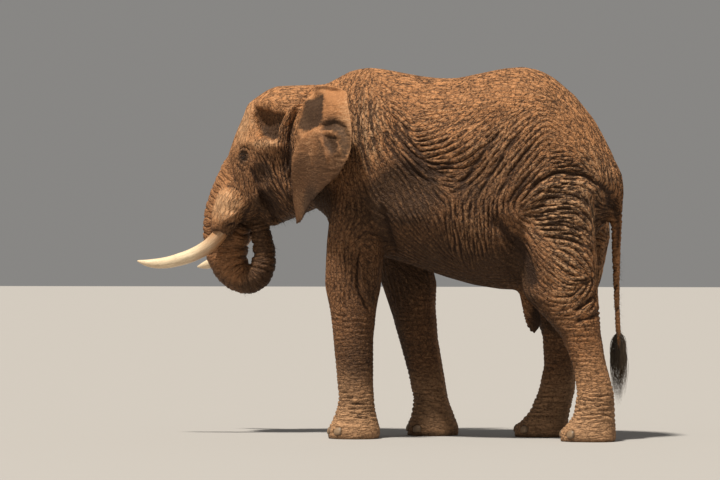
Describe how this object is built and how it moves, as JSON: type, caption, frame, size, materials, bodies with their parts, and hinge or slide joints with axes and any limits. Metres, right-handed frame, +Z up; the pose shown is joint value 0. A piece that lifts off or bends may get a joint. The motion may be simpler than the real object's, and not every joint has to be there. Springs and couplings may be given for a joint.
{
  "type": "african elephant",
  "caption": "Life-size african bull elephant standing still, ears half back and trunk curled up to its mouth, with a long left and a shorter right tusk.",
  "frame": {"origin": "on the floor, under the centre of the animal's bounding box", "axes": "+Z up, -Y the way the body faces, +X to the animal's left"},
  "size_m": [1.811, 4.4204, 3.2266],
  "materials": {
    "skin": "dry, deeply wrinkled, dusted with reddish brown earth",
    "ear_skin": "smoother and thinner skin with soft folds, dusty",
    "nail": "worn horn, dusty",
    "ivory": "polished ivory, stained brown at the root and underneath",
    "eye": "wet, dark brown",
    "hair": "coarse dusty hair"
  },
  "bodies": {
    "root": {"ear_left": "ear_skin", "ear_right": "ear_skin", "eye_left": "eye", "eye_right": "eye", "foreleg_left_foot": "skin", "foreleg_left_lower": "skin", "foreleg_left_nail_1": "nail", "foreleg_left_nail_2": "nail", "foreleg_left_nail_3": "nail", "foreleg_left_nail_4": "nail", "foreleg_left_upper": "skin", "foreleg_right_foot": "skin", "foreleg_right_lower": "skin", "foreleg_right_nail_1": "nail", "foreleg_right_nail_2": "nail", "foreleg_right_nail_3": "nail", "foreleg_right_nail_4": "nail", "foreleg_right_upper": "skin", "head": "skin", "hindleg_left_foot": "skin", "hindleg_left_lower": "skin", "hindleg_left_nail_1": "nail", "hindleg_left_nail_2": "nail", "hindleg_left_nail_3": "nail", "hindleg_left_upper": "skin", "hindleg_right_foot": "skin", "hindleg_right_lower": "skin", "hindleg_right_nail_1": "nail", "hindleg_right_nail_2": "nail", "hindleg_right_nail_3": "nail", "hindleg_right_upper": "skin", "lower_jaw": "skin", "neck": "skin", "prepuce": "skin", "tail": "skin", "tail_root": "skin", "tail_tuft": "hair", "torso": "skin", "trunk_curl": "skin", "trunk_middle": "skin", "trunk_root": "skin", "trunk_tip": "skin", "tusk_left": "ivory", "tusk_right": "ivory"}
  },
  "joints": []
}
